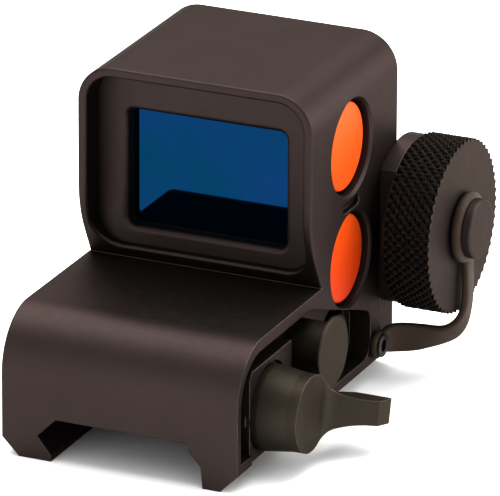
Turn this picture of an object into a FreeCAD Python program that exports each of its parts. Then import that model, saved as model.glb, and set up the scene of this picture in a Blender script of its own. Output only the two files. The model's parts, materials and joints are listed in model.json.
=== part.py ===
import FreeCAD, Part
import math
import os
import Sketcher
from FreeCAD import Placement, Rotation, Vector

# Red dot finder for a dovetail rail. +Y points from the front window to the rear window,
# +X to the button and lever side, +Z up. The origin is the middle of the rail slot's ceiling.

DIMENSIONS = [
    ("half_width", 15.3, "half width of base and hood"),
    ("base_front", -23.0, "front end of the base"),
    ("base_back", 22.8, "rear end of the base"),
    ("base_top", 11.9, "flat top of the base"),
    ("base_low", -5.4, "underside of the feet"),
    ("shoulder_radius", 7.0, "rounded front top edge"),
    ("foot_chamfer", 2.2, "outer lower chamfer"),
    ("slot_half", 8.2, "half width of the slot ceiling"),
    ("notch_half", 10.7, "fixed side notch for the rail's edge"),
    ("notch_height", -2.4, "height of the notch and the rail's edge"),
    ("lip_half", 8.93, "fixed lip below the rail's edge"),
    ("lip_height", -4.6, "tip of the fixed lip"),
    ("leg_half", 10.8, "inner face of the clamp side's leg"),
    ("leg_top_half", 8.9, "where that leg's flank starts"),
    ("leg_knee_half", 10.55, "where that flank ends"),
    ("hood_front", -2.0, "front rim of the hood"),
    ("hood_top", 36.9, "top of the hood"),
    ("hood_radius", 4.6, "outer radius of the hood's top corners"),
    ("rim_bead", 0.35, "rounded edges of the hood's front rim"),
    ("chin_corner", 18.4, "height where the chin turns back"),
    ("chin_radius", 14.0, "bend of the chin"),
    ("chin_foot", 1.3, "where the chin meets the base's top"),
    ("rim_wall", 1.15, "wall of the front rim"),
    ("recess_low", 13.6, "floor of the front recess"),
    ("recess_radius", 3.5, "inner corners of the front recess"),
    ("bezel_front", 1.6, "front face of the bezel"),
    ("bezel_back", 3.3, "rear face of the bezel"),
    ("window_half", 10.4, "half width of the window opening"),
    ("window_low", 15.9, "lower edge of the window opening"),
    ("window_high", 30.7, "upper edge of the window opening"),
    ("window_radius", 1.0, "corners of the window opening"),
    ("window_bead", 0.7, "rounded front edge of the window opening"),
    ("glass_lap", 1.2, "how far glass reaches past the opening"),
    ("gasket_thickness", 0.3, "window gasket"),
    ("lens_thickness", 1.5, "front lens"),
    ("cavity_front", 8.0, "front wall of the electronics cavity"),
    ("cavity_half", 11.9, "half width of the cavity"),
    ("cavity_low", 6.1, "floor of the cavity"),
    ("cavity_high", 33.5, "ceiling of the cavity"),
    ("cavity_radius", 2.0, "corners of the cavity"),
    ("cover_front", 20.35, "seat of the rear cover"),
    ("groove_place", 18.7, "vertical groove on the clamp side"),
    ("cover_back", 23.6, "rear face of the cover"),
    ("rear_low", 2.6, "lower edge of the rear block"),
    ("rear_foot", 19.5, "front of the rear block's lower edge"),
    ("cover_lap", 1.9, "how far the cover reaches past the cavity"),
    ("cover_seal", 0.25, "cover gasket"),
    ("button_place", 10.0, "button axes along the body"),
    ("upper_button_height", 26.9, "upper button"),
    ("lower_button_height", 12.6, "lower button"),
    ("well_radius", 5.9, "button well"),
    ("well_bevel", 0.3, "bevel around a well"),
    ("button_radius", 5.5, "button face"),
    ("button_sink", 0.9, "button face below the side"),
    ("button_thickness", 1.3, "button pad"),
    ("plunger_radius", 1.6, "plunger behind a button pad"),
    ("well_floor", 12.7, "floor of a button well"),
    ("mark_front", 7.4, "recess between the wells"),
    ("mark_back", 12.2, "recess between the wells"),
    ("mark_low", 19.1, "recess between the wells"),
    ("mark_high", 20.4, "recess between the wells"),
    ("mark_depth", 0.8, "recess between the wells"),
    ("pocket_floor", 12.5, "floor of the clamp side's pocket"),
    ("pocket_front", -22.0, "front edge of the pocket"),
    ("pocket_low", -2.0, "lower edge of the pocket"),
    ("pocket_high", 10.4, "upper edge of the pocket"),
    ("lever_place", -13.0, "lever axis along the body"),
    ("lever_height", 2.0, "lever axis height"),
    ("drum_root", 14.9, "outer face of the jaw"),
    ("drum_radius", 5.2, "lever drum at its root"),
    ("lever_radius", 4.75, "lever disc"),
    ("lever_face", 20.4, "outer face of the lever disc"),
    ("arm_height", 3.0, "height of the lever arm"),
    ("arm_droop", 14.0, "arm angle below level, degrees"),
    ("bolt_radius", 1.5, "cross bolt"),
    ("jaw_front", -18.6, "front end of the jaw"),
    ("jaw_back", -6.6, "rear end of the jaw"),
    ("jaw_top", 8.2, "top of the jaw"),
    ("jaw_low", -5.0, "underside of the jaw"),
    ("lug_front", 3.0, "recoil lug"),
    ("lug_length", 4.8, "recoil lug"),
    ("lug_half", 6.0, "half width of the recoil lug"),
    ("lug_root", 2.2, "how deep the lug sits in the ceiling"),
    ("running_gap", 0.06, "radial gap of a running fit"),
    ("adjuster_place", -0.7, "windage adjuster along the body"),
    ("adjuster_height", 4.9, "windage adjuster height"),
    ("adjuster_radius", 4.4, "windage adjuster disc"),
    ("adjuster_face", 17.8, "windage adjuster's outer face"),
    ("screw_place", 10.9, "elevation adjuster along the body"),
    ("screw_height", 2.0, "elevation adjuster height"),
    ("screw_radius", 2.9, "elevation adjuster"),
    ("screw_well", 3.7, "round recess around the elevation adjuster"),
    ("screw_floor", 11.5, "floor of the round recess"),
    ("pin_place", 17.3, "strap pin along the body"),
    ("pin_height", -0.95, "strap pin height"),
    ("pin_radius", 1.42, "strap pin"),
    ("cap_place", 25.0, "battery cap axis along the body"),
    ("cap_height", 13.0, "battery cap axis height"),
    ("cap_radius", 10.8, "battery cap"),
    ("cap_back", 17.4, "inner edge of the cap"),
    ("cap_face", 23.5, "outer face of the cap"),
    ("cap_wall", 2.5, "end wall of the cap"),
    ("pod_radius", 10.4, "battery pod"),
    ("pod_front", 18.6, "front edge of the battery pod"),
    ("pod_flange", 16.9, "flange behind the cap"),
    ("pod_flange_radius", 9.6, "flange behind the cap"),
    ("neck_radius", 9.2, "threaded neck"),
    ("neck_end", 20.3, "outer end of the neck"),
    ("cell_bore", 8.2, "battery compartment"),
    ("cell_floor", 17.2, "bottom of the battery compartment"),
    ("cell_radius", 8.0, "coin cell"),
    ("cell_thickness", 3.2, "coin cell"),
    ("ring_radius", 4.4, "strap ring"),
    ("ring_thickness", 1.2, "strap ring"),
    ("stud_radius", 3.7, "head of the cap stud"),
    ("stud_face", 26.0, "outer face of the stud"),
    ("stud_shank", 1.6, "shank of the stud"),
    ("strap_width", 4.0, "moulded strap at the pin"),
    ("strap_end_width", 2.3, "moulded strap at the ring"),
    ("strap_thickness", 0.9, "moulded strap"),
]


class Size:
    """A length: its value, and the spreadsheet expression that it comes from."""

    def __init__(self, value, text):
        self.value = value
        self.text = text

    def combine(self, other, sign, value):
        return Size(value, "(" + self.text + " " + sign + " " + as_size(other).text + ")")

    def __add__(self, other):
        return self.combine(other, "+", self.value + as_size(other).value)

    def __sub__(self, other):
        return self.combine(other, "-", self.value - as_size(other).value)

    def __mul__(self, other):
        return self.combine(other, "*", self.value * as_size(other).value)

    def __truediv__(self, other):
        return self.combine(other, "/", self.value / as_size(other).value)

    def __neg__(self):
        return Size(-self.value, "(0 - " + self.text + ")")


def as_size(number):
    return number if isinstance(number, Size) else Size(float(number), repr(float(number)))


class Sheet:
    """The driving dimensions, read as attributes."""

    def __init__(self, doc):
        sheet = doc.addObject("Spreadsheet::Sheet", "dims")
        for row, (alias, value, note) in enumerate(DIMENSIONS, start=1):
            sheet.set(f"A{row}", alias)
            sheet.set(f"B{row}", str(value))
            sheet.set(f"C{row}", note)
            sheet.setAlias(f"B{row}", alias)
            setattr(self, alias, Size(value, "dims." + alias))


doc = FreeCAD.newDocument("red_dot_finder")
d = Sheet(doc)
doc.recompute()

# Small sizes that only one or two pieces share, in the same millimetres.
COVER_SCREW = 0.6
COVER_HEAD = 1.05
SCREW_DEPTH = 5.0
POD_SCREW = 0.5
POD_HEAD = 0.85
GROOVE_WIDTH = 0.3
SEAL_RADIUS = 2.6
SEAL_DEPTH = 0.5
STEM_RADIUS = 2.5
STEM_END = 4.0
SCREW_STEM = 1.2
SCREW_END = 6.0
BOLT_SEAT = -13.0
BOLT_HEAD = 2.7
SPRING_RADIUS = 1.1
SPRING_SEAT = 10.2
PIN_SHANK = 0.8
PIN_END = 12.4
SIDE_GAP = 0.2
LIP_TOP = -0.4
BOARD_THICKNESS = 0.8

ROLES = {"XY": "XY_Plane", "XZ": "XZ_Plane", "YZ": "YZ_Plane"}
TURNS = {"X": Rotation(Vector(0, 1, 0), 90), "Y": Rotation(Vector(1, 0, 0), -90), "Z": Rotation()}
nodes = []


def keep(thing, label):
    """Name a finished sub-part; its label names its file."""
    thing.Label = label
    nodes.append(thing)
    return thing


def bind(thing, prop, size):
    size = as_size(size)
    thing.setExpression(prop, size.text)
    return size.value


def place(thing, at):
    for letter, size in zip("xyz", at):
        bind(thing, ".Placement.Base." + letter, size)


# ---- Sketches -------------------------------------------------------------------------------


def new_body(name):
    return doc.addObject("PartDesign::Body", "body_" + name)


def origin_part(body, role):
    return next(f for f in body.Origin.OriginFeatures if f.Role == role)


def corner_arc(before, corner, after, radius):
    """Tangent points, centre and end angles of the arc that rounds a corner."""
    to_before = (before - corner).normalize()
    to_after = (after - corner).normalize()
    half_angle = to_before.getAngle(to_after) / 2
    reach = radius / math.tan(half_angle)
    centre = corner + (to_before + to_after).normalize() * (radius / math.sin(half_angle))
    return corner + to_before * reach, corner + to_after * reach, centre


def hold_point(sketch, geometry, point, x, y):
    """Bind a point's distances from the sketch origin."""
    for kind, size in (("DistanceX", x), ("DistanceY", y)):
        size = as_size(size)
        index = sketch.addConstraint(Sketcher.Constraint(kind, -1, 1, geometry, point, size.value))
        sketch.setExpression(f"Constraints[{index}]", size.text)


def draw_outline(sketch, corners):
    """A closed outline of straight lines; a corner with a third value is rounded by it."""
    points = [Vector(as_size(c[0]).value, as_size(c[1]).value, 0) for c in corners]
    count = len(corners)
    starts = list(points)
    ends = list(points)
    centres = {}
    for i, corner in enumerate(corners):
        if len(corner) == 3:
            radius = as_size(corner[2]).value
            ends[i], starts[i], centres[i] = corner_arc(points[i - 1], points[i], points[(i + 1) % count], radius)
    lines = []
    for i in range(count):
        follow = (i + 1) % count
        lines.append(sketch.addGeometry(Part.LineSegment(starts[i], ends[follow]), False))
    for i, corner in enumerate(corners):
        before = lines[i - 1]
        after = lines[i]
        if i not in centres:
            sketch.addConstraint(Sketcher.Constraint("Coincident", before, 2, after, 1))
            hold_point(sketch, after, 1, corner[0], corner[1])
            continue
        round_corner(sketch, corner, before, after, ends[i], starts[i], centres[i])


def round_corner(sketch, corner, before, after, begin, finish, centre):
    radius = as_size(corner[2])
    first = math.atan2(begin.y - centre.y, begin.x - centre.x)
    last = math.atan2(finish.y - centre.y, finish.x - centre.x)
    turn = (last - first) % (2 * math.pi)
    forward = turn < math.pi
    low, high = (first, last) if forward else (last, first)
    circle = Part.Circle(centre, Vector(0, 0, 1), radius.value)
    arc = sketch.addGeometry(Part.ArcOfCircle(circle, low, high), False)
    near, far = (1, 2) if forward else (2, 1)
    tip = sketch.addGeometry(Part.Point(Vector(as_size(corner[0]).value, as_size(corner[1]).value, 0)), True)
    sketch.addConstraint(Sketcher.Constraint("Tangent", before, 2, arc, near))
    sketch.addConstraint(Sketcher.Constraint("Tangent", arc, far, after, 1))
    sketch.addConstraint(Sketcher.Constraint("PointOnObject", tip, 1, before))
    sketch.addConstraint(Sketcher.Constraint("PointOnObject", tip, 1, after))
    hold_point(sketch, tip, 1, corner[0], corner[1])
    index = sketch.addConstraint(Sketcher.Constraint("Radius", arc, radius.value))
    sketch.setExpression(f"Constraints[{index}]", radius.text)


def draw_circle(sketch, x, y, radius):
    radius = as_size(radius)
    circle = Part.Circle(Vector(as_size(x).value, as_size(y).value, 0), Vector(0, 0, 1), radius.value)
    index = sketch.addGeometry(circle, False)
    hold_point(sketch, index, 3, x, y)
    hold = sketch.addConstraint(Sketcher.Constraint("Radius", index, radius.value))
    sketch.setExpression(f"Constraints[{hold}]", radius.text)


def new_sketch(body, plane, offset, outlines):
    """Outlines are lists of corners, or (x, y, radius) tuples for circles."""
    sketch = body.newObject("Sketcher::SketchObject", "sketch")
    sketch.AttachmentSupport = [(origin_part(body, ROLES[plane]), "")]
    sketch.MapMode = "FlatFace"
    bind(sketch, ".AttachmentOffset.Base.z", offset)
    for outline in outlines:
        if isinstance(outline, tuple):
            draw_circle(sketch, *outline)
        else:
            draw_outline(sketch, outline)
    return sketch


def pad(body, plane, outlines, start, end):
    """Add a prism between two places along the plane's axis."""
    start = as_size(start)
    end = as_size(end)
    offset = -end if plane == "XZ" else start
    feature = body.newObject("PartDesign::Pad", "pad")
    feature.Profile = new_sketch(body, plane, offset, outlines)
    bind(feature, "Length", end - start)
    doc.recompute()
    return feature


def pocket(body, plane, outlines, start, end):
    """Remove a prism between two places along the plane's axis."""
    start = as_size(start)
    end = as_size(end)
    before = body.Shape.Volume
    offset = -start if plane == "XZ" else end
    feature = body.newObject("PartDesign::Pocket", "pocket")
    feature.Profile = new_sketch(body, plane, offset, outlines)
    bind(feature, "Length", end - start)
    doc.recompute()
    if body.Shape.Volume > before - 1e-4:
        raise RuntimeError("a pocket removes nothing in " + body.Name)
    return feature


def turned(label, place_y, place_z, profile):
    """A turned piece on an axis along X. Profile: (x, radius) corners, closed along the axis."""
    body = new_body(label)
    sketch = new_sketch(body, "XZ", 0, [profile])
    feature = body.newObject("PartDesign::Revolution", "revolution")
    feature.Profile = sketch
    feature.ReferenceAxis = (sketch, ["H_Axis"])
    feature.Angle = 360
    place(body, (0, place_y, place_z))
    doc.recompute()
    return keep(body, label)


def dress(body, kind, size, wanted):
    """Fillet or chamfer the edges that the test picks."""
    base = body.Tip
    names = [f"Edge{i}" for i, e in enumerate(base.Shape.Edges, start=1) if wanted(e)]
    if not names:
        raise RuntimeError("no edge to dress in " + body.Name)
    feature = body.newObject("PartDesign::" + kind, kind.lower())
    feature.Base = (base, names)
    bind(feature, "Radius" if kind == "Fillet" else "Size", size)
    doc.recompute()
    return feature


def near(value, size, slack=0.01):
    return abs(value - as_size(size).value) < slack


# ---- Primitives and booleans ----------------------------------------------------------------


def rod(radius, start, end, at, axis="X"):
    """A cylinder along an axis, from start to end, through a point given by its two other places."""
    thing = doc.addObject("Part::Cylinder", "rod")
    bind(thing, "Radius", radius)
    bind(thing, "Height", as_size(end) - start)
    thing.Placement = Placement(Vector(), TURNS[axis])
    spots = {"X": (start, *at), "Y": (at[0], start, at[-1]), "Z": (*at, start)}
    place(thing, spots[axis])
    return thing


def block(low, high):
    thing = doc.addObject("Part::Box", "block")
    for prop, first, last in zip(("Length", "Width", "Height"), low, high):
        bind(thing, prop, as_size(last) - first)
    place(thing, low)
    return thing


def torus(ring, wire, x, at):
    thing = doc.addObject("Part::Torus", "torus")
    bind(thing, "Radius1", ring)
    bind(thing, "Radius2", wire)
    thing.Placement = Placement(Vector(), TURNS["X"])
    place(thing, (x, *at))
    return thing


def cut(base, tool):
    thing = doc.addObject("Part::Cut", "cut")
    thing.Base = base
    thing.Tool = tool
    return thing


def group(kind, things):
    """Fuse pieces into one, or keep separate solids together as a compound."""
    thing = doc.addObject("Part::MultiFuse" if kind == "fuse" else "Part::Compound", kind)
    if kind == "fuse":
        thing.Shapes = things
    else:
        thing.Links = things
    return thing


def tube(outer, inner, start, end, at, axis="X"):
    reach = 1
    hole = rod(inner, as_size(start) - reach, as_size(end) + reach, at, axis)
    return cut(rod(outer, start, end, at, axis), hole)


def rounded_rectangle(half, low, high, radius):
    return [(-half, low, radius), (half, low, radius), (half, high, radius), (-half, high, radius)]


# ---- Housing --------------------------------------------------------------------------------


def slot_profile():
    """Cross-section of the base: fixed dovetail on the left, plain leg on the clamp side."""
    return [
        (-d.half_width, d.base_low + d.foot_chamfer),
        (-d.half_width, d.base_top),
        (d.half_width, d.base_top),
        (d.half_width, d.base_low + d.foot_chamfer),
        (d.half_width - d.foot_chamfer, d.base_low),
        (d.leg_half, d.base_low),
        (d.leg_knee_half, d.notch_height - 0.25),
        (d.leg_top_half, -1.0),
        (d.leg_top_half, 0),
        (-d.slot_half, 0),
        (-d.slot_half, d.notch_height + d.notch_half - d.slot_half),
        (-d.notch_half, d.notch_height),
        (-d.lip_half, d.lip_height),
        (-d.lip_half, d.base_low),
        (d.foot_chamfer - d.half_width, d.base_low),
    ]


def hood_side():
    """Side outline of the hood with its swept-back chin."""
    return [
        (d.hood_front, d.hood_top),
        (d.hood_front, d.chin_corner, d.chin_radius),
        (d.chin_foot, d.base_top),
        (d.chin_foot, d.base_top - 1),
        (d.rear_foot, d.base_top - 1),
        (d.rear_foot, d.rear_low),
        (d.cover_back, d.rear_low),
        (d.cover_back, d.hood_top),
    ]


def side_pocket():
    """Outline of the recess on the clamp side that holds jaw and adjusters."""
    return [
        (d.pocket_front, d.pocket_low),
        (d.pocket_front, d.pocket_high, d.shoulder_radius - 1.3),
        (d.adjuster_place - 1.2, d.pocket_high, 1.5),
        (d.screw_place + 0.6, d.screw_height + 3.6, 2.5),
        (d.screw_place + 5.2, d.screw_height + 1.8, 2.0),
        (d.screw_place + 5.2, d.pocket_low, 2.0),
    ]


def button_spots():
    return ((d.button_place, d.upper_button_height), (d.button_place, d.lower_button_height))


def cover_outline(gap):
    reach = d.cover_lap - gap
    return rounded_rectangle(d.cavity_half + reach, d.cavity_low - reach, d.cavity_high + reach, as_size(3.0))


def cover_screw_spots():
    across = d.cavity_half + 0.2
    return [(x, z) for x in (-across, across) for z in (d.cavity_low - 0.2, d.cavity_high + 0.2)]


def side_features(body):
    """Wells, mark, jaw pocket and bores in the clamp side."""
    face = d.half_width
    floor = d.pocket_floor
    spots = button_spots()
    pocket(body, "YZ", [(*spot, d.well_radius) for spot in spots], d.well_floor, face)
    dress(body, "Chamfer", d.well_bevel, is_well_edge)
    pocket(body, "YZ", [(*spot, SEAL_RADIUS) for spot in spots], d.well_floor - SEAL_DEPTH, d.well_floor)
    pocket(body, "YZ", [(*spot, d.plunger_radius + 0.1) for spot in spots],
           d.cavity_half - 0.2, d.well_floor - SEAL_DEPTH)
    mark = [(d.mark_front, d.mark_low, 0.6), (d.mark_back, d.mark_low, 0.6),
            (d.mark_back, d.mark_high, 0.6), (d.mark_front, d.mark_high, 0.6)]
    pocket(body, "YZ", [mark], face - d.mark_depth, face)
    pocket(body, "YZ", [side_pocket()], floor, face)
    front = d.jaw_front - SIDE_GAP
    back = d.jaw_back + SIDE_GAP
    under = d.base_low - 1
    room = [(front, under), (front, d.pocket_low + 1), (back, d.pocket_low + 1), (back, under)]
    pocket(body, "YZ", [room], floor, face)
    throat = [(front, under), (front, LIP_TOP), (back, LIP_TOP), (back, under)]
    pocket(body, "YZ", [throat], d.slot_half - 1, floor)
    windage = (d.adjuster_place, d.adjuster_height)
    pocket(body, "YZ", [(*windage, d.running_gap + STEM_RADIUS)], STEM_END, floor)
    pocket(body, "YZ", [(*windage, as_size(3.35))], floor - 1.2, floor)
    elevation = (d.screw_place, d.screw_height)
    pocket(body, "YZ", [(*elevation, d.screw_well)], d.screw_floor, floor)
    pocket(body, "YZ", [(*elevation, d.running_gap + SCREW_STEM)], SCREW_END, d.screw_floor)
    bolt = (d.lever_place, d.lever_height)
    pocket(body, "YZ", [(*bolt, d.bolt_radius)], BOLT_SEAT, floor)
    pocket(body, "YZ", [(*bolt, as_size(BOLT_HEAD + 0.2))], -face, BOLT_SEAT)
    pocket(body, "YZ", [(*spot, as_size(SPRING_RADIUS + 0.15)) for spot in spring_spots()], SPRING_SEAT, floor)
    pocket(body, "YZ", [(d.pin_place, d.pin_height, as_size(PIN_SHANK))], PIN_END, face)
    pocket(body, "YZ", [(*spot, as_size(POD_SCREW)) for spot in pod_screw_spots()], d.cavity_half - 0.5, face)
    half = GROOVE_WIDTH / 2
    groove = [(d.groove_place - half, d.base_low), (d.groove_place + half, d.base_low),
              (d.groove_place + half, d.base_top), (d.groove_place - half, d.base_top)]
    pocket(body, "YZ", [groove], face - GROOVE_WIDTH, face)


def is_well_edge(edge):
    round_edge = isinstance(edge.Curve, Part.Circle) and near(edge.Curve.Radius, d.well_radius)
    return round_edge and near(edge.BoundBox.XMin, d.half_width)


def pod_screw_spots():
    return [(d.cover_front - 0.9, d.cap_height + step) for step in (-4.0, 6.0)]


def spring_spots():
    return [(d.lever_place + step, d.lever_height + 2.6) for step in (-4.8, 4.8)]


def make_housing():
    body = new_body("housing")
    pad(body, "XZ", [slot_profile()], d.base_front, d.base_back)
    dress(body, "Fillet", d.shoulder_radius,
          lambda e: near(e.BoundBox.ZMin, d.base_top) and near(e.BoundBox.YMax, d.base_front))
    pad(body, "YZ", [hood_side()], -d.half_width, d.half_width)
    dress(body, "Fillet", d.hood_radius,
          lambda e: near(e.BoundBox.ZMin, d.hood_top) and near(abs(e.CenterOfMass.x), d.half_width))
    half = d.half_width - d.rim_wall
    recess = rounded_rectangle(half, d.recess_low, d.hood_top - d.rim_wall, d.recess_radius)
    pocket(body, "XZ", [recess], d.hood_front - 1, d.bezel_back)
    dress(body, "Fillet", d.rim_bead,
          lambda e: near(e.BoundBox.YMin, d.hood_front) and near(e.BoundBox.YMax, d.hood_front))
    seat_back = d.bezel_back + d.gasket_thickness + d.lens_thickness
    pocket(body, "XZ", [glass_outline(0)], d.bezel_back, seat_back)
    pocket(body, "XZ", [window_outline()], seat_back, d.cavity_front)
    cavity = rounded_rectangle(d.cavity_half, d.cavity_low, d.cavity_high, d.cavity_radius)
    pocket(body, "XZ", [cavity], d.cavity_front, d.cover_front)
    pocket(body, "XZ", [cover_outline(0)], d.cover_front, d.cover_back)
    screws = [(x, z, as_size(COVER_SCREW)) for x, z in cover_screw_spots()]
    pocket(body, "XZ", screws, d.cover_front - SCREW_DEPTH, d.cover_front)
    side_features(body)
    corners = [(-d.lug_half, d.lug_front), (d.lug_half, d.lug_front),
               (d.lug_half, d.lug_front + d.lug_length), (-d.lug_half, d.lug_front + d.lug_length)]
    pocket(body, "XY", [corners], 0, d.lug_root)
    return keep(body, "housing")


# ---- Windows and cover ----------------------------------------------------------------------


def window_outline():
    return rounded_rectangle(d.window_half, d.window_low, d.window_high, d.window_radius)


def glass_outline(gap):
    reach = d.glass_lap - gap
    return rounded_rectangle(d.window_half + reach, d.window_low - reach, d.window_high + reach, d.window_radius)


def flat_piece(label, outlines, start, end):
    """A plate across the line of sight; a second outline is its opening."""
    body = new_body(label)
    pad(body, "XZ", outlines, start, end)
    return keep(body, label)


def make_front_optics():
    half = d.half_width - d.rim_wall
    frame = rounded_rectangle(half, d.recess_low, d.hood_top - d.rim_wall, d.recess_radius)
    bezel = flat_piece("front_bezel", [frame, window_outline()], d.bezel_front, d.bezel_back)
    dress(bezel, "Fillet", d.window_bead,
          lambda e: near(e.BoundBox.YMax, d.bezel_front) and abs(e.CenterOfMass.x) < d.window_half.value + 0.5
          and d.window_low.value - 0.5 < e.CenterOfMass.z < d.window_high.value + 0.5)
    seal_back = d.bezel_back + d.gasket_thickness
    flat_piece("front_lens_gasket", [glass_outline(0), window_outline()], d.bezel_back, seal_back)
    lens_back = seal_back + d.lens_thickness
    flat_piece("front_lens", [glass_outline(0.05)], seal_back, lens_back)
    inner = rounded_rectangle(d.window_half - 0.05, d.window_low + 0.05, d.window_high - 0.05, d.window_radius)
    flat_piece("reflector_lens", [inner], lens_back, d.cavity_front)


def make_rear_cover():
    body = new_body("rear_cover")
    front = d.cover_front + d.cover_seal
    seat_back = front + d.lens_thickness + d.gasket_thickness
    pad(body, "XZ", [cover_outline(0.05)], front, d.cover_back)
    pocket(body, "XZ", [window_outline()], seat_back, d.cover_back)
    pocket(body, "XZ", [glass_outline(0)], front, seat_back)
    spots = cover_screw_spots()
    pocket(body, "XZ", [(x, z, as_size(COVER_SCREW + 0.1)) for x, z in spots], front, d.cover_back)
    pocket(body, "XZ", [(x, z, as_size(COVER_HEAD + 0.1)) for x, z in spots], d.cover_back - 1.1, d.cover_back)
    dress(body, "Fillet", 0.5,
          lambda e: near(e.BoundBox.YMin, d.cover_back) and abs(e.CenterOfMass.x) < d.window_half.value + 0.5
          and d.window_low.value - 0.5 < e.CenterOfMass.z < d.window_high.value + 0.5)
    keep(body, "rear_cover")
    flat_piece("rear_window", [glass_outline(0.05)], front, front + d.lens_thickness)
    flat_piece("rear_window_gasket", [glass_outline(0), window_outline()], front + d.lens_thickness, seat_back)


def make_cover_hardware():
    inner = rounded_rectangle(d.cavity_half, d.cavity_low, d.cavity_high, d.cavity_radius)
    holes = [(x, z, as_size(COVER_SCREW + 0.1)) for x, z in cover_screw_spots()]
    flat_piece("cover_gasket", [cover_outline(0.1), inner, *holes], d.cover_front, d.cover_front + d.cover_seal)
    screws = []
    for x, z in cover_screw_spots():
        shank = rod(COVER_SCREW, d.cover_front - SCREW_DEPTH, d.cover_back - 1.1, (x, z), "Y")
        head = rod(COVER_HEAD, d.cover_back - 1.1, d.cover_back - 0.2, (x, z), "Y")
        screws.append(group("fuse", [shank, head]))
    keep(group("compound", screws), "cover_screws")


# ---- Electronics ----------------------------------------------------------------------------


def make_electronics():
    floor = d.cavity_low
    board_top = floor + BOARD_THICKNESS
    keep(block((-9, d.cavity_front + 1, floor), (9, d.cover_front - 2.4, board_top)), "main_board")
    carrier_front = d.cover_front - 7.9
    keep(block((-3, carrier_front, board_top), (3, d.cover_front - 2.4, d.window_low - 1.4)), "emitter_carrier")
    keep(rod(0.9, carrier_front - 1.2, carrier_front, (0, d.window_low - 2.6), "Y"), "led_emitter")
    board_face = d.cavity_half - 0.9
    low = (board_face - 0.6, d.cavity_front + 0.3, d.lower_button_height - 4)
    high = (board_face, d.cover_front - 2.4, d.upper_button_height + 4)
    keep(block(low, high), "keypad_board")
    domes = [rod(1.9, board_face, board_face + 0.12, spot) for spot in button_spots()]
    keep(group("compound", domes), "keypad_domes")
    seals = [tube(SEAL_RADIUS, d.plunger_radius + 0.05, d.well_floor - SEAL_DEPTH, d.well_floor, spot)
             for spot in button_spots()]
    keep(group("compound", seals), "button_seals")


def make_button(label, height):
    face = d.half_width - d.button_sink
    back = face - d.button_thickness
    wall = d.cavity_half
    head = d.plunger_radius + 0.35
    profile = [(wall - 0.4, 0), (wall - 0.4, head), (wall - 0.02, head), (wall - 0.02, d.plunger_radius),
               (back, d.plunger_radius), (back, d.button_radius), (face, d.button_radius, 0.3), (face, 0)]
    turned(label, d.button_place, height, profile)


# ---- Adjusters ------------------------------------------------------------------------------


def make_adjusters():
    floor = d.pocket_floor
    face = d.adjuster_face
    rim = face - 0.45
    windage = [(STEM_END + 0.2, 0), (STEM_END + 0.2, STEM_RADIUS), (floor + 0.1, STEM_RADIUS), (floor + 0.1, 3.5),
               (rim, 3.5), (rim, d.adjuster_radius), (face, d.adjuster_radius, 0.2), (face, 0)]
    turned("windage_adjuster", d.adjuster_place, d.adjuster_height, windage)
    spot = (d.adjuster_place, d.adjuster_height)
    keep(torus(2.95, 0.37, floor - 0.6, spot), "windage_o_ring")
    base = d.screw_floor + 0.1
    elevation = [(SCREW_END + 0.2, 0), (SCREW_END + 0.2, SCREW_STEM), (base, SCREW_STEM), (base, d.screw_radius),
                 (base + 1.7, d.screw_radius, 0.3), (base + 1.7, 0)]
    turned("elevation_adjuster", d.screw_place, d.screw_height, elevation)


# ---- Rail clamp -----------------------------------------------------------------------------


def make_clamp_jaw():
    """Plate with a hooked lip that grips the rail's edge."""
    inner = d.pocket_floor + 0.2
    profile = [(inner, d.jaw_top), (d.drum_root, d.jaw_top), (d.drum_root, d.jaw_low + 1.8),
               (d.drum_root - 1.8, d.jaw_low), (9.7, d.jaw_low), (9.6, d.lip_height + 0.3),
               (11.2, d.notch_height - 0.2), (11.2, d.notch_height + 0.8), (inner, d.notch_height + 0.8)]
    body = new_body("clamp_jaw")
    pad(body, "XZ", [profile], d.jaw_front, d.jaw_back)
    slope = [(d.jaw_front, d.jaw_top - 0.9), (d.jaw_front + 0.7, d.jaw_top), (d.jaw_front, d.jaw_top)]
    pocket(body, "YZ", [slope], inner, d.drum_root)
    spot = (d.lever_place, d.lever_height)
    pocket(body, "YZ", [(*spot, d.drum_radius + 0.4)], d.drum_root - 0.6, d.drum_root)
    pocket(body, "YZ", [(*spot, d.bolt_radius + 0.2)], inner, d.drum_root)
    keep(body, "clamp_jaw")


def make_clamp_lever():
    """Drum and thumb arm on the cross bolt; local Y runs along the arm."""
    root = d.drum_root - 0.5
    face = d.lever_face
    bore = d.bolt_radius + d.running_gap
    profile = [(root, bore), (root, d.drum_radius), (d.drum_root + 0.6, d.drum_radius), (face - 1.4, d.lever_radius),
               (face, d.lever_radius), (face, 0), (face - 0.8, 0), (face - 0.8, bore)]
    body = new_body("clamp_lever")
    feature = body.newObject("PartDesign::Revolution", "revolution")
    sketch = new_sketch(body, "XZ", 0, [profile])
    feature.Profile = sketch
    feature.ReferenceAxis = (sketch, ["H_Axis"])
    feature.Angle = 360
    doc.recompute()
    back = face - 1.4
    shoulder = d.lever_radius * 0.76
    arm = [(back, 0), (face, 0), (face, 4.2, 2.5), (face + 5.3, 7.9, 0.3), (face + 5.4, 11.2, 0.2),
           (face + 5.0, 11.5), (face + 0.6, 11.5, 0.8), (back, 9.4, 3.0)]
    pad(body, "XY", [arm], -shoulder, shoulder)
    half = d.arm_height / 2
    for side in (1, -1):
        beside = [(2.9, (shoulder + 0.17) * side), (5.6, half * side, 5.0), (12, half * side), (12, 5 * side),
                  (2.9, 5 * side)]
        pocket(body, "YZ", [beside], back, face + 6)
    pocket(body, "YZ", [(0, 0, bore)], back, face - 0.8)
    body.Placement = Placement(Vector(), Rotation(Vector(1, 0, 0), -d.arm_droop.value))
    place(body, (0, d.lever_place, d.lever_height))
    doc.recompute()
    keep(body, "clamp_lever")


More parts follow.
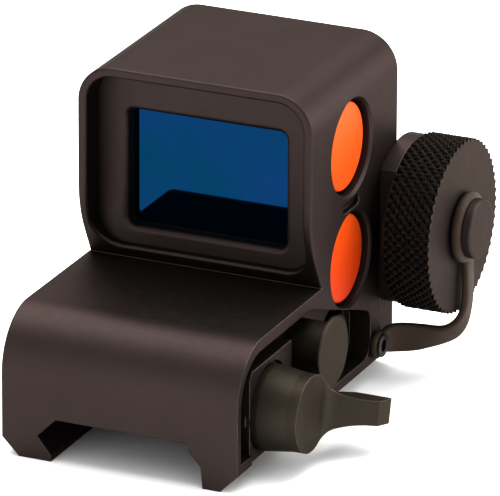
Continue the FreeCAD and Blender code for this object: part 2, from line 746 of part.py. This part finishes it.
def make_clamp_hardware():
    head = BOLT_SEAT - 1.9
    bolt = [(head, 0), (head, BOLT_HEAD), (BOLT_SEAT, BOLT_HEAD), (BOLT_SEAT, d.bolt_radius),
            (d.lever_face - 1.0, d.bolt_radius), (d.lever_face - 1.0, 0)]
    turned("cross_bolt", d.lever_place, d.lever_height, bolt)
    springs = [tube(SPRING_RADIUS, 0.6, SPRING_SEAT, d.pocket_floor + 0.2, spot) for spot in spring_spots()]
    keep(group("compound", springs), "jaw_springs")
    lug_back = d.lug_front + d.lug_length
    keep(block((-d.lug_half, d.lug_front, -2.6), (d.lug_half, lug_back, d.lug_root)), "recoil_lug")


# ---- Battery compartment --------------------------------------------------------------------


def make_battery_pod():
    """Round pod on the housing's side, and the neck that the cap screws on."""
    axis = (d.cap_place, d.cap_height)
    shell = rod(d.pod_radius, d.half_width, d.cap_back, axis)
    wide = d.pod_radius + 1
    front = block((d.half_width - 1, d.cap_place - wide, d.cap_height - wide),
                  (d.cap_back + 1, d.pod_front, d.cap_height + wide))
    flange = rod(d.pod_flange_radius, d.pod_flange, d.cap_back, axis)
    neck = rod(d.neck_radius, d.cap_back, d.neck_end, axis)
    whole = group("fuse", [cut(shell, front), flange, neck])
    screws = [rod(POD_SCREW, d.half_width - 1, d.pod_flange - 0.2, spot) for spot in pod_screw_spots()]
    holes = group("fuse", [rod(d.cell_bore, d.cell_floor, d.neck_end + 1, axis), *screws])
    keep(cut(whole, holes), "battery_pod")
    inside = d.cavity_half
    fasteners = [group("fuse", [rod(POD_SCREW, inside, d.pod_flange - 0.3, spot),
                                rod(POD_HEAD, inside - 0.7, inside, spot)]) for spot in pod_screw_spots()]
    keep(group("compound", fasteners), "pod_screws")
    cell_back = d.cell_floor + 0.1
    keep(rod(5.0, d.cell_floor, cell_back, axis), "battery_contact")
    cell_end = cell_back + d.cell_thickness
    keep(rod(d.cell_radius, cell_back, cell_end, axis), "coin_cell")
    keep(torus(9.72, 0.5, d.cap_back + 0.52, axis), "cap_o_ring")
    return cell_end


def make_battery_cap(cell_end):
    inner = d.cap_face - d.cap_wall
    back = d.cap_back + 0.03
    bore = d.neck_radius + 0.15
    groove = d.cap_back + 1.15
    shank = d.stud_shank
    hole = d.cap_face - 1.8
    profile = [(back, 10.28), (back, d.cap_radius, 0.25), (d.cap_face, d.cap_radius, 0.3), (d.cap_face, shank),
               (hole, shank), (hole, 0), (inner, 0), (inner, bore), (groove, bore), (groove, 10.28)]
    turned("battery_cap", d.cap_place, d.cap_height, profile)
    head = d.cap_face + d.ring_thickness + 0.2
    stud = [(hole, 0), (hole, shank), (head, shank), (head, d.stud_radius),
            (d.stud_face, d.stud_radius, 0.3), (d.stud_face, 0)]
    turned("cap_stud", d.cap_place, d.cap_height, stud)
    axis = (d.cap_place, d.cap_height)
    keep(tube(3.2, 1.6, cell_end + 0.05, inner, axis), "cap_contact")
    ring_back = d.cap_face + 0.1
    keep(tube(d.ring_radius, shank + 0.1, ring_back, ring_back + d.ring_thickness, axis), "strap_ring")


def strap_section(centre, tangent, across, width, thickness):
    """A rectangular wire, square to the strap's run."""
    side = (across - tangent * across.dot(tangent)).normalize() * (width / 2)
    normal = tangent.cross(side).normalize() * (thickness / 2)
    corners = [centre + side + normal, centre - side + normal, centre - side - normal, centre + side - normal]
    return Part.makePolygon(corners + corners[:1])


def make_strap():
    """Moulded strap from its pinned eyelet on the side, out and up to the ring on the cap."""
    width = d.strap_width.value
    narrow = d.strap_end_width.value
    thickness = d.strap_thickness.value
    eye = Vector(d.half_width.value + 0.05 + thickness / 2, d.pin_place.value, d.pin_height.value)
    ring = Vector(d.cap_face.value + 0.7, d.cap_place.value, (d.cap_height - d.ring_radius).value)
    stations = [
        (eye + Vector(0, 1.2, 0), Vector(0, 0, 1), width),
        (eye + Vector(0.8, 3.0, 0), Vector(0, -0.1, 1), width),
        (eye + Vector(3.6, 5.2, -0.2), Vector(0, -0.45, 0.9), width),
        (eye + Vector(7.4, 6.6, 0.3), Vector(-0.2, -0.85, 0.5), (width + narrow) / 2),
        (eye + Vector(8.9, 7.4, 3.4), Vector(0, -1, 0.1), narrow),
        (ring + Vector(0, 0, -0.16), Vector(0, -1, 0), narrow),
    ]
    curve = Part.BSplineCurve()
    curve.interpolate([centre for centre, across, wide in stations])
    wires = []
    for centre, across, wide in stations:
        tangent = Vector(*curve.tangent(curve.parameter(centre))[0])
        wires.append(strap_section(centre, tangent, across, wide, thickness))
    ribbon = Part.makeLoft(wires, True, False)
    base = eye - Vector(thickness / 2, 0, 0)
    eyelet = Part.makeCylinder(width / 2, thickness, base, Vector(1, 0, 0))
    hole = Part.makeCylinder(PIN_SHANK, thickness, base, Vector(1, 0, 0))
    strap = doc.addObject("Part::Feature", "cap_strap")
    strap.Shape = ribbon.fuse(eyelet).cut(hole).removeSplitter()
    keep(strap, "cap_strap")


def make_strap_pin():
    face = d.half_width + d.strap_thickness + 0.1
    pin = [(PIN_END, 0), (PIN_END, PIN_SHANK), (face, PIN_SHANK), (face, d.pin_radius),
           (face + 0.3, d.pin_radius, 0.1), (face + 0.3, 0.75), (face - 0.3, 0.75), (face - 0.3, 0)]
    turned("strap_pin", d.pin_place, d.pin_height, pin)


# ---- Build ----------------------------------------------------------------------------------

make_housing()
make_front_optics()
make_rear_cover()
make_cover_hardware()
make_electronics()
make_button("upper_button", d.upper_button_height)
make_button("lower_button", d.lower_button_height)
make_adjusters()
make_clamp_jaw()
make_clamp_lever()
make_clamp_hardware()
make_battery_cap(make_battery_pod())
make_strap()
make_strap_pin()
doc.recompute()

for thing in doc.Objects:
    if "Invalid" in thing.State or "Error" in thing.State:
        raise RuntimeError("a feature failed: " + thing.Name)

os.makedirs("parts", exist_ok=True)
for node in nodes:
    if node.Shape.isNull() or not node.Shape.isValid() or not node.Shape.Solids:
        raise RuntimeError("a sub-part has no valid solid: " + node.Label)
    node.Shape.exportStep(f"parts/{node.Label}.step")
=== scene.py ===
import json
import math

import bmesh
import bpy
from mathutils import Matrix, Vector


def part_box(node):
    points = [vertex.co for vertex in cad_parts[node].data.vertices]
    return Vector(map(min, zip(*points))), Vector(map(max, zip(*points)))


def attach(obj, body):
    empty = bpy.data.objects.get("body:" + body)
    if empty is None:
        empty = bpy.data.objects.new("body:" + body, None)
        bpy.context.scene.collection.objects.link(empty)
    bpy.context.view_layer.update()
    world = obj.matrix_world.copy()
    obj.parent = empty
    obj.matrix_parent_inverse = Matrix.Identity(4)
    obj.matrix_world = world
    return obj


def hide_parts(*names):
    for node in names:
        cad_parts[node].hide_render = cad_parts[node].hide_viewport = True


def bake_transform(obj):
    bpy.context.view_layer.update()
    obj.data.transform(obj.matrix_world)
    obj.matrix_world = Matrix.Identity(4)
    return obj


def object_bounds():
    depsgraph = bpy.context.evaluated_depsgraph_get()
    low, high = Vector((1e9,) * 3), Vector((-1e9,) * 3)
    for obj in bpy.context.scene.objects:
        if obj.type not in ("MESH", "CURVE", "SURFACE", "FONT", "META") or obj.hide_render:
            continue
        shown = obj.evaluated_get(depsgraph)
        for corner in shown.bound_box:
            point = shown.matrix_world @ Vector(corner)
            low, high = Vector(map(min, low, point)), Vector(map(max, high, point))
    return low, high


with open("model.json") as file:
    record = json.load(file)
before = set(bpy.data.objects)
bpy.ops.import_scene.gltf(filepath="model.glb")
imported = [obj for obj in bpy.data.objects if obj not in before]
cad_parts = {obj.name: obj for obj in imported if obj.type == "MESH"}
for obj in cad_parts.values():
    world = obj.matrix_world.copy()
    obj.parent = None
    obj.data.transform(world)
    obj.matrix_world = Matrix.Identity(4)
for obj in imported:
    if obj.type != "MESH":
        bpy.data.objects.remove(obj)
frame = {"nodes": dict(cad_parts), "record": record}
cad_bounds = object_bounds()

MM = 0.001

# Most of a noise texture's values lie between these two.
NOISE_LOW = 0.3
NOISE_HIGH = 0.7

# Where the camera stands: around its aim point, in degrees and metres.
CAMERA_AZIMUTH = 24.20
CAMERA_ELEVATION = 21.05
CAMERA_ROLL = 0.225
CAMERA_DISTANCE = 0.8992
CAMERA_AIM = Vector((6.55, -0.15, 16.22)) * MM
CAMERA_LENS = 543.5


# ---- Shader helpers --------------------------------------------------------------------------


class Shader:
    """A material's node tree with short calls for the nodes used here."""

    def __init__(self, name):
        self.material = bpy.data.materials.new(name)
        self.material.use_nodes = True
        self.tree = self.material.node_tree
        self.surface = self.tree.nodes["Principled BSDF"]
        self.place = self.node("ShaderNodeTexCoord").outputs["Object"]

    def node(self, kind, **settings):
        made = self.tree.nodes.new(kind)
        for key, value in settings.items():
            setattr(made, key, value)
        return made

    def link(self, output, target):
        self.tree.links.new(output, target)

    def set(self, **values):
        for key, value in values.items():
            self.surface.inputs[key.replace("_", " ")].default_value = value

    def noise(self, size, detail=3.0):
        """Noise whose blotches are about size metres across."""
        made = self.node("ShaderNodeTexNoise")
        self.link(self.place, made.inputs["Vector"])
        made.inputs["Scale"].default_value = 1.0 / size
        made.inputs["Detail"].default_value = detail
        made.inputs["Roughness"].default_value = 0.5
        return made.outputs["Fac"]

    def ramp(self, value, stops):
        made = self.node("ShaderNodeValToRGB")
        self.link(value, made.inputs["Fac"])
        elements = made.color_ramp.elements
        while len(elements) < len(stops):
            elements.new(0.5)
        for element, (position, color) in zip(elements, stops):
            element.position = position
            element.color = (*color, 1.0)
        return made.outputs["Color"]

    def clouds(self, dark, light, size, detail=3.0):
        """Base colour that drifts between two tones."""
        tone = self.ramp(self.noise(size, detail), [(NOISE_LOW, dark), (NOISE_HIGH, light)])
        self.link(tone, self.surface.inputs["Base Color"])

    def spread(self, value, low, high, start=NOISE_LOW, end=NOISE_HIGH):
        """Map start to end of the value onto low to high."""
        made = self.node("ShaderNodeMapRange")
        self.link(value, made.inputs["Value"])
        for key, number in (("From Min", start), ("From Max", end), ("To Min", low), ("To Max", high)):
            made.inputs[key].default_value = number
        return made.outputs["Result"]

    def roughness(self, size, low, high):
        """Roughness that drifts between low and high."""
        self.link(self.spread(self.noise(size), low, high), self.surface.inputs["Roughness"])

    def mix(self, factor, base, color):
        """Lay a fixed colour over a base socket."""
        made = self.node("ShaderNodeMix", data_type="RGBA")
        mix_factor, mix_base, mix_color = made.inputs[0], made.inputs[6], made.inputs[7]
        self.link(factor, mix_factor)
        self.link(base, mix_base)
        mix_color.default_value = (*color, 1.0)
        return made.outputs[2]

    def combine(self, operation, first, second):
        made = self.node("ShaderNodeMath", operation=operation)
        self.link(first, made.inputs[0])
        self.link(second, made.inputs[1])
        return made.outputs[0]

    def rounded_edges(self, radius):
        made = self.node("ShaderNodeBevel", samples=8)
        made.inputs["Radius"].default_value = radius
        return made.outputs["Normal"]

    def edge_wear(self, radius):
        """1 along sharp edges, 0 on flat stretches."""
        geometry = self.node("ShaderNodeNewGeometry")
        product = self.node("ShaderNodeVectorMath", operation="DOT_PRODUCT")
        self.link(self.rounded_edges(radius), product.inputs[0])
        self.link(geometry.outputs["Normal"], product.inputs[1])
        return self.spread(product.outputs["Value"], 1.0, 0.0, 0.80, 0.985)

    def bump(self, height, distance, normal):
        """Surface grain on top of the given normal."""
        made = self.node("ShaderNodeBump")
        self.link(height, made.inputs["Height"])
        made.inputs["Distance"].default_value = distance
        made.inputs["Strength"].default_value = 1.0
        self.link(normal, made.inputs["Normal"])
        self.link(made.outputs["Normal"], self.surface.inputs["Normal"])


def anodised_metal(name, dark, light, worn, rough):
    """Bead-blasted, hard anodised aluminium: fine grain, cloudy tone, paler along its edges."""
    s = Shader(name)
    edge = 0.18 * MM
    cloud = s.ramp(s.noise(6 * MM, 4.0), [(NOISE_LOW, dark), (NOISE_HIGH, light)])
    patchy = s.spread(s.noise(0.5 * MM, 2.0), 0.35, 0.9, 0.35, 0.65)
    wear = s.combine("MULTIPLY", s.edge_wear(edge), patchy)
    s.link(s.mix(wear, cloud, worn), s.surface.inputs["Base Color"])
    s.roughness(0.9 * MM, rough - 0.02, rough + 0.03)
    s.set(Metallic=1.0, Specular_Tint=(0.55, 0.53, 0.52, 1.0))
    s.bump(s.noise(0.11 * MM, 2.0), 0.012 * MM, s.rounded_edges(edge))
    return s.material


def rubber(name, dark, light, rough):
    """Moulded rubber with a faint matt grain."""
    s = Shader(name)
    s.clouds(dark, light, 3 * MM)
    s.roughness(1.5 * MM, rough - 0.06, rough + 0.06)
    s.set(Specular_IOR_Level=0.15)
    s.bump(s.noise(0.25 * MM, 2.0), 0.01 * MM, s.rounded_edges(0.12 * MM))
    return s.material


def steel(name, dark, light, rough):
    """Steel with a fine, uneven grain."""
    s = Shader(name)
    s.clouds(dark, light, 2 * MM)
    s.roughness(0.6 * MM, rough - 0.05, rough + 0.08)
    s.set(Metallic=1.0, Specular_Tint=(0.6, 0.6, 0.6, 1.0))
    s.bump(s.noise(0.08 * MM, 1.0), 0.006 * MM, s.rounded_edges(0.1 * MM))
    return s.material


def coated_glass():
    """Front lens with a mirror coating that drifts between two blues."""
    s = Shader("coated_glass_look")
    blues = [(0.35, (0.0008, 0.030, 0.068)), (0.65, (0.0030, 0.027, 0.085))]
    s.link(s.ramp(s.noise(9 * MM, 1.0), blues), s.surface.inputs["Base Color"])
    s.set(Metallic=1.0, Roughness=0.03)
    return s.material


def clear_glass():
    s = Shader("clear_glass_look")
    s.clouds((0.80, 0.88, 0.90), (0.86, 0.92, 0.94), 8 * MM)
    s.set(Roughness=0.02, Transmission_Weight=0.95, IOR=1.5)
    return s.material


def button_rubber_painted_shade(name, upper, lower, middle, half):
    """Orange silicone pad with painted shade: its colour goes from one tone at its lower edge to another
    at its upper one, the darker lower tone standing for shade.
    """
    s = Shader(name)
    split = s.node("ShaderNodeSeparateXYZ")
    s.link(s.place, split.inputs[0])
    height = s.spread(split.outputs["Z"], 0.0, 1.0, middle - half, middle + half)
    grain = s.spread(s.noise(1.2 * MM), -0.05, 0.05)
    tone = s.ramp(s.combine("ADD", height, grain), [(0.1, lower), (0.9, upper)])
    s.link(tone, s.surface.inputs["Base Color"])
    s.set(Roughness=0.5, Specular_IOR_Level=0.12)
    s.bump(s.noise(0.15 * MM, 2.0), 0.006 * MM, s.rounded_edges(0.3 * MM))
    return s.material


def circuit_board():
    s = Shader("circuit_board_look")
    tracks = s.node("ShaderNodeTexBrick")
    s.link(s.place, tracks.inputs["Vector"])
    tracks.inputs["Scale"].default_value = 0.9 / MM
    tracks.inputs["Color1"].default_value = (0.012, 0.07, 0.035, 1)
    tracks.inputs["Color2"].default_value = (0.016, 0.09, 0.045, 1)
    tracks.inputs["Mortar"].default_value = (0.25, 0.16, 0.05, 1)
    s.link(tracks.outputs["Color"], s.surface.inputs["Base Color"])
    s.set(Roughness=0.4)
    return s.material


def led_look():
    s = Shader("led_look")
    s.clouds((0.5, 0.02, 0.02), (0.7, 0.05, 0.03), 0.8 * MM)
    s.set(Roughness=0.15, Transmission_Weight=0.4)
    return s.material


# Each look is made from its darker tone, its lighter tone and, on worn metal, the tone of its edges.
BODY = anodised_metal("body_look", (0.040, 0.0298, 0.0278), (0.043, 0.0322, 0.0302),
                      (0.11, 0.088, 0.076), 0.48)
CAP = anodised_metal("cap_look", (0.038, 0.030, 0.026), (0.046, 0.036, 0.032), (0.11, 0.09, 0.075), 0.5)
LEVER = anodised_metal("lever_look", (0.038, 0.0315, 0.0245), (0.046, 0.0385, 0.030),
                       (0.13, 0.11, 0.085), 0.52)
# Painted shade: the knurled band is the cap's own anodised aluminium, painted far darker to stand for
# shade in its grooves.
KNURL_PAINTED_SHADE = anodised_metal("knurl_painted_shade_look", (0.006, 0.0048, 0.0043), (0.008, 0.0065, 0.0059),
                       (0.08, 0.068, 0.056), 0.45)
STRAP = rubber("strap_look", (0.029, 0.0185, 0.012), (0.040, 0.026, 0.017), 0.6)
SEAL = rubber("seal_look", (0.003, 0.003, 0.003), (0.006, 0.006, 0.006), 0.65)
DARK_STEEL = steel("dark_steel_look", (0.045, 0.040, 0.037), (0.075, 0.068, 0.062), 0.36)
BRIGHT_STEEL = steel("bright_steel_look", (0.25, 0.24, 0.22), (0.34, 0.33, 0.31), 0.25)


def button_look_painted_shade(name):
    """Look of one button, with painted light and shade: the upper one is painted brighter than the lower
    one, and each is painted darker towards its bottom.
    """
    low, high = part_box(name)
    middle = (low.z + high.z) / 2
    half = (high.z - low.z) / 2
    # Painted light and shade: the upper pad gets lighter tones and the lower pad darker ones, each darker
    # at its bottom.
    if name == "upper_button":
        tones = ((0.58, 0.082, 0.003), (0.52, 0.062, 0.003))
    else:
        tones = ((0.50, 0.062, 0.003), (0.44, 0.034, 0.002))
    return button_rubber_painted_shade(name + "_look", *tones, middle, half)


SLOT_LOOKS = {
    "anodised_body": BODY,
    "anodised_cap": CAP,
    "lever_finish": LEVER,
    "dark_steel": DARK_STEEL,
    "spring_steel": BRIGHT_STEEL,
    "cell_steel": BRIGHT_STEEL,
    "coated_glass": coated_glass(),
    "clear_glass": clear_glass(),
    "seal_rubber": SEAL,
    "strap_rubber": STRAP,
    "circuit_board": circuit_board(),
    "led_lens": led_look(),
}


def dress_cad_nodes():
    """Give every CAD node the look of its slot."""
    for part in frame["record"]["subparts"]:
        node = part["node"]
        look = SLOT_LOOKS.get(part["material_slot"]) or button_look_painted_shade(node)
        mesh = frame["nodes"][node].data
        mesh.materials.clear()
        mesh.materials.append(look)


# ---- Mesh helpers ----------------------------------------------------------------------------


def add_piece(name, points, faces, look, smooth_angle, body=None):
    """Make a mesh object; edges sharper than smooth_angle degrees stay sharp."""
    mesh = bpy.data.meshes.new(name)
    mesh.from_pydata([tuple(p) for p in points], [], faces)
    built = bmesh.new()
    built.from_mesh(mesh)
    bmesh.ops.recalc_face_normals(built, faces=built.faces)
    built.to_mesh(mesh)
    built.free()
    mesh.materials.append(look)
    mesh.shade_smooth()
    mesh.set_sharp_from_angle(angle=math.radians(smooth_angle))
    piece = bpy.data.objects.new(name, mesh)
    bpy.context.scene.collection.objects.link(piece)
    if body:
        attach(piece, body)
    return piece


def lathe(profile, centre_y, centre_z, steps, radius_at=None):
    """Turn (x, radius) points about an axis along X. Radius 0 closes an end."""
    points = []
    rings = []
    for x, radius in profile:
        if radius == 0:
            rings.append([len(points)])
            points.append(Vector((x, centre_y, centre_z)))
            continue
        ring = []
        for i in range(steps):
            angle = 2 * math.pi * i / steps
            reach = radius_at(x, angle, radius) if radius_at else radius
            ring.append(len(points))
            points.append(Vector((x, centre_y + reach * math.cos(angle),
                                  centre_z + reach * math.sin(angle))))
        rings.append(ring)
    faces = []
    for first, second in zip(rings, rings[1:]):
        for i in range(steps):
            j = (i + 1) % steps
            corners = [first[i % len(first)], first[j % len(first)],
                       second[j % len(second)], second[i % len(second)]]
            faces.append(tuple(dict.fromkeys(corners)))
    return points, faces


def axis_of(node):
    """Y and Z of the middle of a node that is round about X."""
    low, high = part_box(node)
    return (low.y + high.y) / 2, (low.z + high.z) / 2


# ---- Battery cap -----------------------------------------------------------------------------

KNURL_COUNT = 58
KNURL_DEPTH = 0.40 * MM
KNURL_ROWS = 44
KNURL_FLAT = 1.35  # above 1 cuts the pyramids' points off


def knurl(x, angle, radius):
    """Two crossing sets of helical grooves leave small pyramids."""
    turn = angle * KNURL_COUNT / (2 * math.pi)
    climb = x * KNURL_COUNT / (2 * math.pi * radius)
    first = abs((turn + climb) % 1.0 - 0.5) * 2
    second = abs((turn - climb) % 1.0 - 0.5) * 2
    return radius - KNURL_DEPTH * (1 - min(1.0, KNURL_FLAT * min(first, second)))


def make_battery_cap():
    """Hollow cap, open at the back, with a knurled rim and a bore for its stud."""
    low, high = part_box("battery_cap")
    centre = axis_of("battery_cap")
    radius = (high.z - low.z) / 2
    back = low.x
    face = high.x
    band_start = back + 0.25 * MM
    band_length = face - back - 0.28 * MM
    band = [(band_start + band_length * i / KNURL_ROWS, radius) for i in range(KNURL_ROWS + 1)]

    def reach(x, angle, ring_radius):
        return knurl(x, angle, ring_radius) if ring_radius > radius - 1e-7 else ring_radius

    shoulder = radius - KNURL_DEPTH - 0.05 * MM
    stud_bore = 1.65 * MM
    face_ring = 6.0 * MM
    hollow = 9.9 * MM
    hollow_end = 9.3 * MM
    inner_face = face - 0.5 * MM
    profile = [(back, hollow), (back, shoulder - 0.15 * MM), (back + 0.12 * MM, shoulder), *band,
               (face, shoulder + 0.06 * MM), (face, shoulder - 0.06 * MM), (face, face_ring),
               (face, stud_bore), (inner_face, stud_bore), (inner_face, hollow_end),
               (back + 0.6 * MM, hollow), (back, hollow)]
    points, faces = lathe(profile, *centre, KNURL_COUNT * 8, reach)
    piece = add_piece("knurled_battery_cap", points, faces, CAP, 30, "battery_cap")
    # The knurled band gets painted shade.
    paint_knurl_shade(piece, centre, shoulder + 0.03 * MM)
    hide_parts("battery_cap")


def paint_knurl_shade(piece, centre, rim):
    """Give the faces beyond the rim radius the knurl's look, painted far darker than the cap as painted
    shade in the grooves, but not those that face along X.
    """
    piece.data.materials.append(KNURL_PAINTED_SHADE)
    for polygon in piece.data.polygons:
        out = math.hypot(polygon.center.y - centre[0], polygon.center.z - centre[1])
        if out > rim and abs(polygon.normal.x) < 0.9:
            polygon.material_index = 1


# ---- Cap strap -------------------------------------------------------------------------------

STRAP_WIDE = 4.0 * MM
STRAP_NARROW = 2.3 * MM
STRAP_THICKNESS = 0.9 * MM
PIN_HOLE = 0.85 * MM
STUD_HOLE = 1.75 * MM
PATH_STEPS = 10
CORNER_STEPS = 4


def smooth_path(points, steps):
    """Catmull-Rom curve through the points."""
    ends = [points[0] * 2 - points[1], *points, points[-1] * 2 - points[-2]]
    path = []
    for a, b, c, e in zip(ends, ends[1:], ends[2:], ends[3:]):
        for i in range(steps):
            t = i / steps
            path.append(0.5 * (2 * b + (c - a) * t + (2 * a - 5 * b + 4 * c - e) * t ** 2
                               + (3 * b - a - 3 * c + e) * t ** 3))
    return path + [points[-1]]


def strap_outline(width, thickness):
    """Rounded rectangle, as (across, through) pairs."""
    corner = thickness * 0.42
    outline = []
    for sign_a, sign_b, start in ((1, 1, 0), (-1, 1, 90), (-1, -1, 180), (1, -1, 270)):
        for step in range(CORNER_STEPS + 1):
            angle = math.radians(start + 90 / CORNER_STEPS * step)
            outline.append((sign_a * (width / 2 - corner) + corner * math.cos(angle),
                            sign_b * (thickness / 2 - corner) + corner * math.sin(angle)))
    return outline


def sweep(path, sides, outlines):
    """Skin an outline along a path; sides gives the across direction at each point."""
    points = []
    count = len(outlines[0])
    for i, (spot, side) in enumerate(zip(path, sides)):
        before = path[max(i - 1, 0)]
        after = path[min(i + 1, len(path) - 1)]
        tangent = (after - before).normalized()
        across = (side - tangent * side.dot(tangent)).normalized()
        normal = tangent.cross(across)
        points += [spot + across * a + normal * b for a, b in outlines[i]]
    faces = []
    for i in range(len(path) - 1):
        for j in range(count):
            k = (j + 1) % count
            faces.append((i * count + j, i * count + k, (i + 1) * count + k, (i + 1) * count + j))
    faces.append(tuple(range(count))[::-1])
    last = (len(path) - 1) * count
    faces.append(tuple(range(last, last + count)))
    return points, faces


def eyelet(centre, radius, hole, thickness):
    """A flat ring about X, with chamfered rims."""
    soft = thickness * 0.3
    back = centre.x - thickness / 2
    front = centre.x + thickness / 2
    profile = [(back, hole + soft), (back, radius - soft), (back + soft, radius),
               (front - soft, radius), (front, radius - soft), (front, hole + soft),
               (front - soft, hole), (back + soft, hole), (back, hole + soft)]
    return lathe(profile, centre.y, centre.z, 40)


def joined(parts):
    """One list of points and one of faces out of several."""
    points = []
    faces = []
    for some_points, some_faces in parts:
        shift = len(points)
        points += some_points
        faces += [tuple(i + shift for i in face) for face in some_faces]
    return points, faces


def make_strap():
    """Strap from the eyelet on the pin, out and up to the ring on the cap's stud."""
    pin_y, pin_z = axis_of("strap_pin")
    ring_low, ring_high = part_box("strap_ring")
    ring = (ring_low + ring_high) / 2
    ring_radius = (ring_high.z - ring_low.z) / 2
    eye = Vector((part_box("cap_strap")[0].x + STRAP_THICKNESS / 2, pin_y, pin_z))

    # Each station: where the strap passes, which way its width points, and how wide it is.
    stations = [
        (eye + Vector((0, 1.2, 0)) * MM, Vector((0, 0, 1)), STRAP_WIDE * 0.7),
        (eye + Vector((0.8, 3.0, 0)) * MM, Vector((0, -0.1, 1)), STRAP_WIDE * 0.93),
        (eye + Vector((3.6, 5.2, -0.2)) * MM, Vector((0, -0.45, 0.9)), STRAP_WIDE),
        (eye + Vector((7.1, 6.5, 0.7)) * MM, Vector((-0.3, -0.85, 0.5)), (STRAP_WIDE + STRAP_NARROW) / 2),
        (eye + Vector((8.6, 7.2, 4.0)) * MM, Vector((0, -1, 0.1)), STRAP_NARROW),
        (ring - Vector((0, 0, ring_radius - 0.6 * MM)), Vector((0, -1, 0)), STRAP_NARROW),
    ]
    path = smooth_path([spot for spot, side, width in stations], PATH_STEPS)
    sides = smooth_path([side for spot, side, width in stations], PATH_STEPS)
    widths = smooth_path([Vector((width, 0, 0)) for spot, side, width in stations], PATH_STEPS)
    points, faces = joined([
        sweep(path, sides, [strap_outline(width.x, STRAP_THICKNESS) for width in widths]),
        eyelet(eye, STRAP_WIDE * 0.42, PIN_HOLE, STRAP_THICKNESS),
        eyelet(ring, ring_radius, STUD_HOLE, ring_high.x - ring_low.x),
    ])
    piece = add_piece("moulded_strap", points, faces, STRAP, 50)
    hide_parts("cap_strap", "strap_ring")
    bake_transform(piece)


# ---- Studio ----------------------------------------------------------------------------------


def area_light(name, spot, aim, size, power):
    """A rectangular lamp at a spot, turned towards its aim."""
    data = bpy.data.lights.new(name, "AREA")
    data.shape = "RECTANGLE"
    data.size = size[0]
    data.size_y = size[1]
    data.energy = power
    light = bpy.data.objects.new(name, data)
    bpy.context.scene.collection.objects.link(light)
    light.location = spot
    light.rotation_euler = (Vector(aim) - Vector(spot)).to_track_quat("-Z", "Y").to_euler()


def make_floor():
    height = cad_bounds[0][2]
    reach = 3.0
    corners = [(-reach, -reach, height), (reach, -reach, height),
               (reach, reach, height), (-reach, reach, height)]
    mesh = bpy.data.meshes.new("floor")
    mesh.from_pydata(corners, [], [(0, 1, 2, 3)])
    floor = bpy.data.objects.new("floor", mesh)
    bpy.context.scene.collection.objects.link(floor)
    paper = Shader("floor_paper")
    paper.clouds((0.90, 0.90, 0.90), (0.93, 0.93, 0.93), 0.4, 2.0)
    paper.set(Roughness=0.9, Specular_IOR_Level=0.1)
    mesh.materials.append(paper.material)


def make_lights():
    world = bpy.data.worlds.new("studio")
    bpy.context.scene.world = world
    world.use_nodes = True
    background = world.node_tree.nodes["Background"]
    background.inputs["Color"].default_value = (1, 1, 1, 1)
    background.inputs["Strength"].default_value = 1.2
    area_light("overhead", (-0.05, 0.2, 0.6), (0, 0, 0.02), (0.8, 0.8), 10.0)
    area_light("right_side", (0.55, 0.35, 0.22), (0, 0, 0.015), (0.5, 0.4), 5.0)
    area_light("front_fill", (-0.3, -0.65, 0.16), (0, 0, 0), (0.5, 0.3), 0.8)


def make_camera():
    azimuth = math.radians(CAMERA_AZIMUTH)
    elevation = math.radians(CAMERA_ELEVATION)
    back = Vector((math.sin(azimuth) * math.cos(elevation), -math.cos(azimuth) * math.cos(elevation),
                   math.sin(elevation)))
    data = bpy.data.cameras.new("camera")
    data.lens = CAMERA_LENS
    data.sensor_width = 36.0
    data.clip_start = 0.05
    camera = bpy.data.objects.new("camera", data)
    bpy.context.scene.collection.objects.link(camera)
    camera.location = CAMERA_AIM + back * CAMERA_DISTANCE
    camera.rotation_euler = (-back).to_track_quat("-Z", "Y").to_euler()
    camera.rotation_euler.rotate_axis("Z", math.radians(CAMERA_ROLL))
    bpy.context.scene.camera = camera


bpy.context.scene.view_settings.view_transform = "Standard"
bpy.context.scene.view_settings.gamma = 0.85
make_camera()
make_floor()
make_lights()
dress_cad_nodes()
make_battery_cap()
make_strap()
